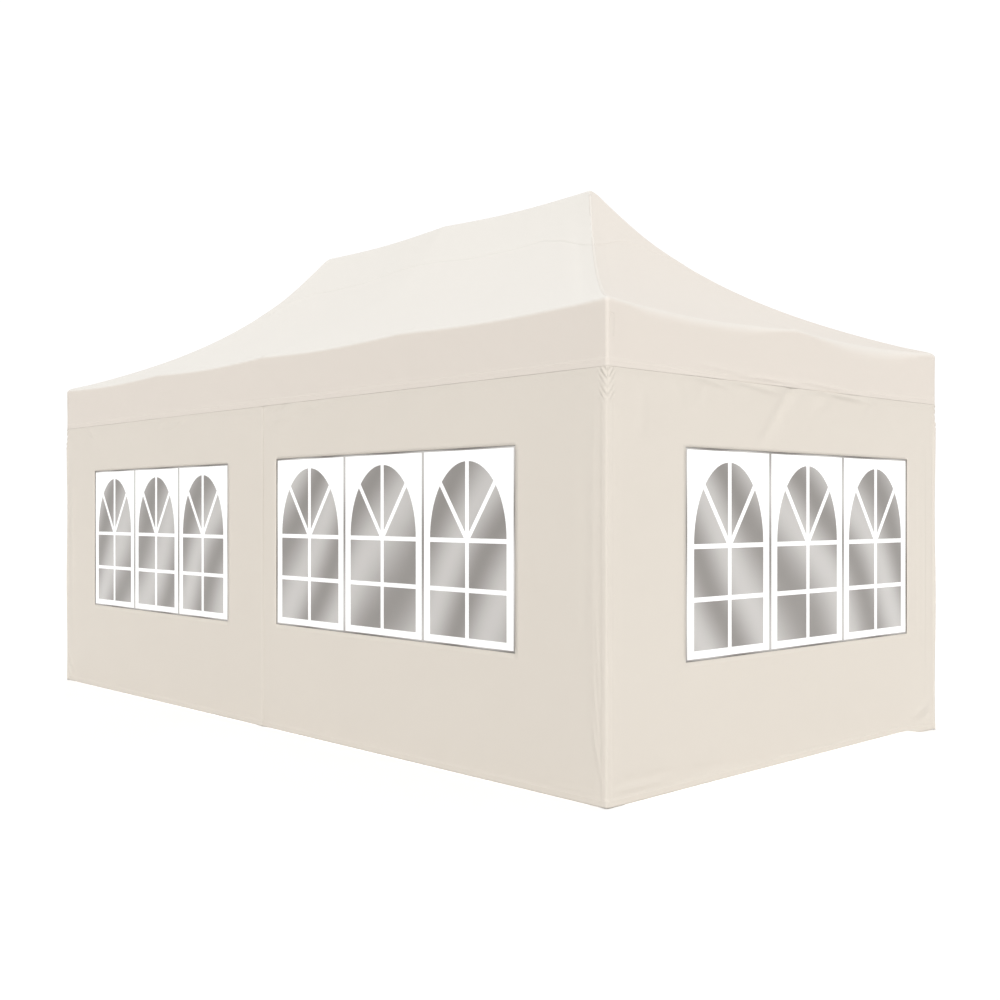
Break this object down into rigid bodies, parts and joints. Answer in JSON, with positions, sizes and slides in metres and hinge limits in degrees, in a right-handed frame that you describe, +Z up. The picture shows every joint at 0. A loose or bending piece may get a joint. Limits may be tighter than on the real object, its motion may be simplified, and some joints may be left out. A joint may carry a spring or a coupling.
{
  "type": "marquee tent",
  "caption": "Rectangular folding marquee with a hollow-curved hipped roof, a straight valance all round and closed fabric walls with arched window panels.",
  "frame": {"origin": "on the ground, under the middle of the roof", "axes": "+X along the ridge towards the right-hand end wall, +Y from the front long side to the back, +Z up"},
  "size_m": [6, 3, 3.41],
  "materials": {
    "cream_cloth": "matt woven polyester, coated inside",
    "window_film": "clear soft film with a light wave",
    "silver_tube": "hammered powder coat",
    "grey_steel": "satin powder coat"
  },
  "bodies": {
    "root": {"roof_front": "cream_cloth", "roof_back": "cream_cloth", "roof_left": "cream_cloth", "roof_right": "cream_cloth", "valance_front": "cream_cloth", "valance_back": "cream_cloth", "valance_left": "cream_cloth", "valance_right": "cream_cloth", "wall_front_right": "cream_cloth", "wall_front_left": "cream_cloth", "wall_back_left": "cream_cloth", "wall_back_right": "cream_cloth", "wall_right": "cream_cloth", "wall_left": "cream_cloth", "window_front_right": "window_film", "window_front_left": "window_film", "window_back_left": "window_film", "window_back_right": "window_film", "window_right": "window_film", "window_left": "window_film", "leg_outer_front_right": "silver_tube", "leg_outer_front_middle": "silver_tube", "leg_outer_front_left": "silver_tube", "leg_outer_back_left": "silver_tube", "leg_outer_back_middle": "silver_tube", "leg_outer_back_right": "silver_tube", "leg_inner_front_right": "grey_steel", "leg_inner_front_middle": "grey_steel", "leg_inner_front_left": "grey_steel", "leg_inner_back_left": "grey_steel", "leg_inner_back_middle": "grey_steel", "leg_inner_back_right": "grey_steel", "truss_front_right_upper": "silver_tube", "truss_front_right_lower": "silver_tube", "truss_front_left_upper": "silver_tube", "truss_front_left_lower": "silver_tube", "truss_back_right_upper": "silver_tube", "truss_back_right_lower": "silver_tube", "truss_back_left_upper": "silver_tube", "truss_back_left_lower": "silver_tube", "truss_right_upper": "silver_tube", "truss_right_lower": "silver_tube", "truss_left_upper": "silver_tube", "truss_left_lower": "silver_tube", "truss_centre_joint_upper": "silver_tube", "truss_centre_arm_upper_right": "silver_tube", "truss_centre_arm_upper_left": "silver_tube", "truss_centre_joint_lower": "silver_tube", "truss_centre_arm_lower_right": "silver_tube", "truss_centre_arm_lower_left": "silver_tube", "truss_cross_front_right": "silver_tube", "truss_cross_front_left": "silver_tube", "truss_cross_back_right": "silver_tube", "truss_cross_back_left": "silver_tube", "roof_pole_right": "silver_tube", "roof_pole_middle": "silver_tube", "roof_pole_left": "silver_tube"}
  },
  "joints": []
}
